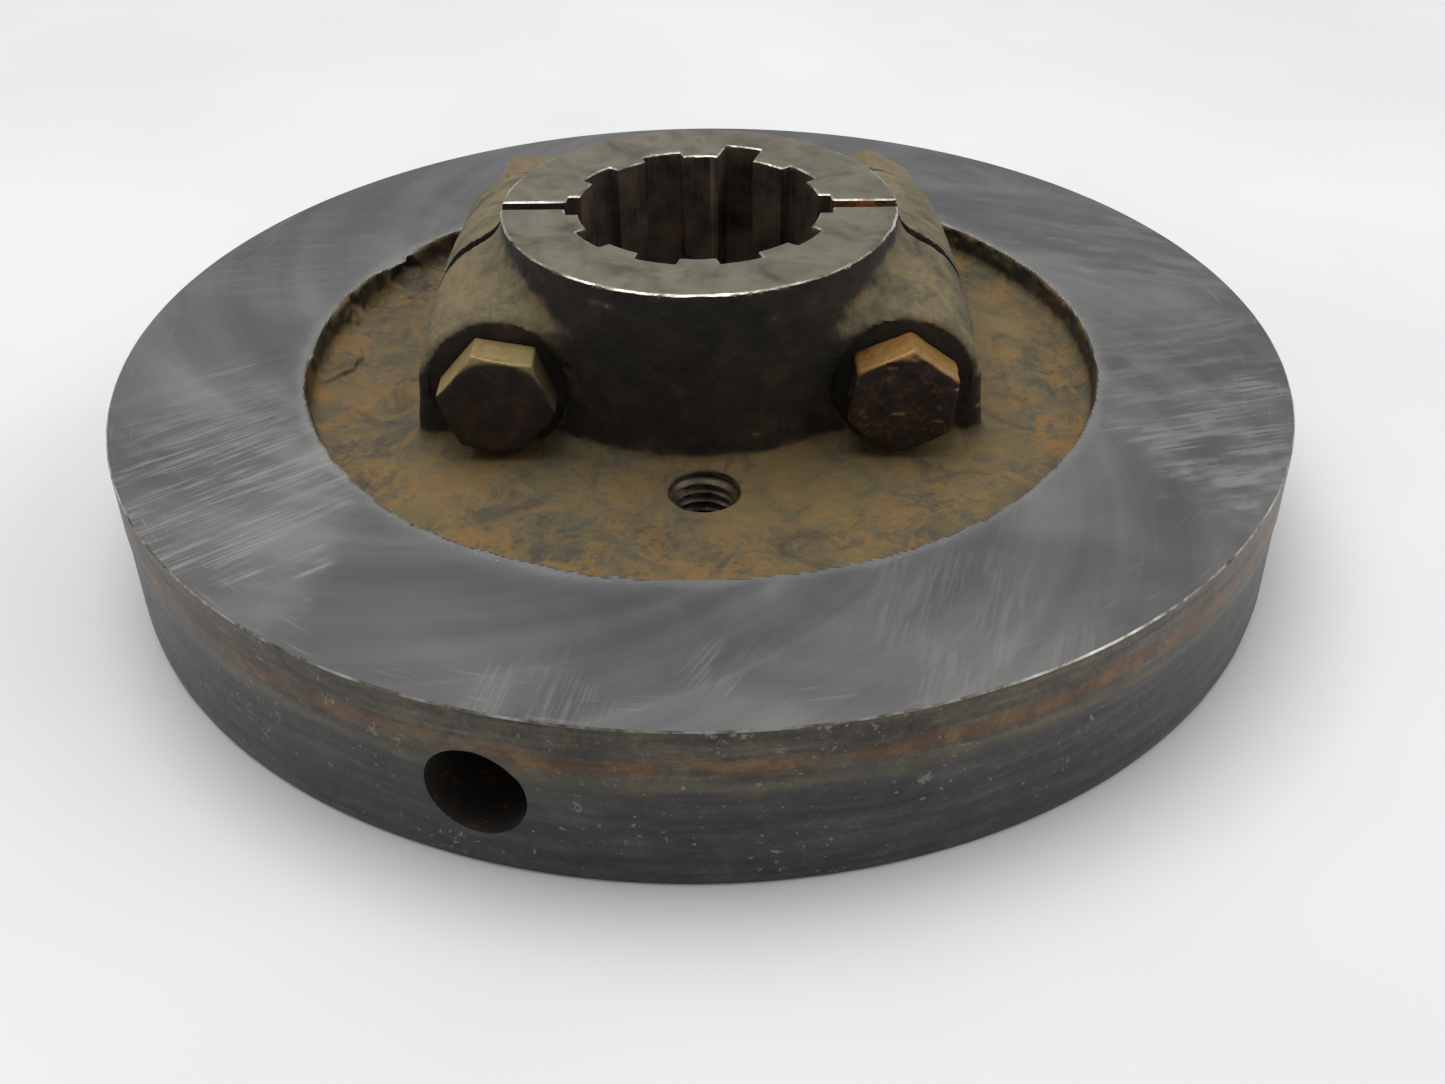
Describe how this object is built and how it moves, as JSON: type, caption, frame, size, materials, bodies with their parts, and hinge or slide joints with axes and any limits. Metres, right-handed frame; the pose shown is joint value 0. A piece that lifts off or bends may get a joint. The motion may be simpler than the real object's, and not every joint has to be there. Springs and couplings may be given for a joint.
{
  "type": "split-hub drive disc",
  "caption": "Cast-iron drive disc with a recessed web and a split, splined hub boss clamped by cross bolts through cast lugs.",
  "frame": {"origin": "on the bore axis at the underside of the rim, the face the disc stands on", "axes": "+Z along the bore axis towards the hub's end face; the slit that splits the hub is the plane Y = 0; the clamp bolts run along Y with their heads at -Y and their nuts at +Y"},
  "size_m": [0.2286, 0.2286, 0.0628],
  "materials": {
    "cast_iron": "machined face polished grey, cast surfaces dark with brown and orange rust",
    "rusted_steel": "dark brown oxide with tan and orange rust",
    "spring_steel": "dark oxide with light rust"
  },
  "bodies": {
    "disc": {"drive_disc": "cast_iron"},
    "left_bolt": {"clamp_bolt_left": "rusted_steel"},
    "left_nut": {"clamp_nut_left": "rusted_steel"},
    "left_washer": {"lock_washer_left": "spring_steel"},
    "right_bolt": {"clamp_bolt_right": "rusted_steel"},
    "right_nut": {"clamp_nut_right": "rusted_steel"},
    "right_washer": {"lock_washer_right": "spring_steel"}
  },
  "joints": [
    {"name": "left_bolt_turn", "type": "hinge", "parent": "disc", "child": "left_bolt", "pos_m": [-0.0371, -0.0259, 0.0385], "axis": [0, -1, 0], "range_deg": [0, 720]},
    {"name": "left_nut_travel", "type": "slide", "parent": "disc", "child": "left_nut", "axis": [0, 1, 0], "range_m": [0, 0.00391]},
    {"name": "left_washer_travel", "type": "slide", "parent": "disc", "child": "left_washer", "axis": [0, 1, 0], "range_m": [0, 0.00196]},
    {"name": "right_bolt_turn", "type": "hinge", "parent": "disc", "child": "right_bolt", "pos_m": [0.0371, -0.0259, 0.0385], "axis": [0, -1, 0], "range_deg": [0, 720]},
    {"name": "right_nut_travel", "type": "slide", "parent": "disc", "child": "right_nut", "axis": [0, 1, 0], "range_m": [0, 0.00391]},
    {"name": "right_washer_travel", "type": "slide", "parent": "disc", "child": "right_washer", "axis": [0, 1, 0], "range_m": [0, 0.00196]}
  ],
  "couplings": [
    {"joint": "left_nut_travel", "follows": "left_bolt_turn", "m_per_rad": 0.00031096},
    {"joint": "left_washer_travel", "follows": "left_bolt_turn", "m_per_rad": 0.00015548},
    {"joint": "right_nut_travel", "follows": "right_bolt_turn", "m_per_rad": 0.00031096},
    {"joint": "right_washer_travel", "follows": "right_bolt_turn", "m_per_rad": 0.00015548}
  ]
}
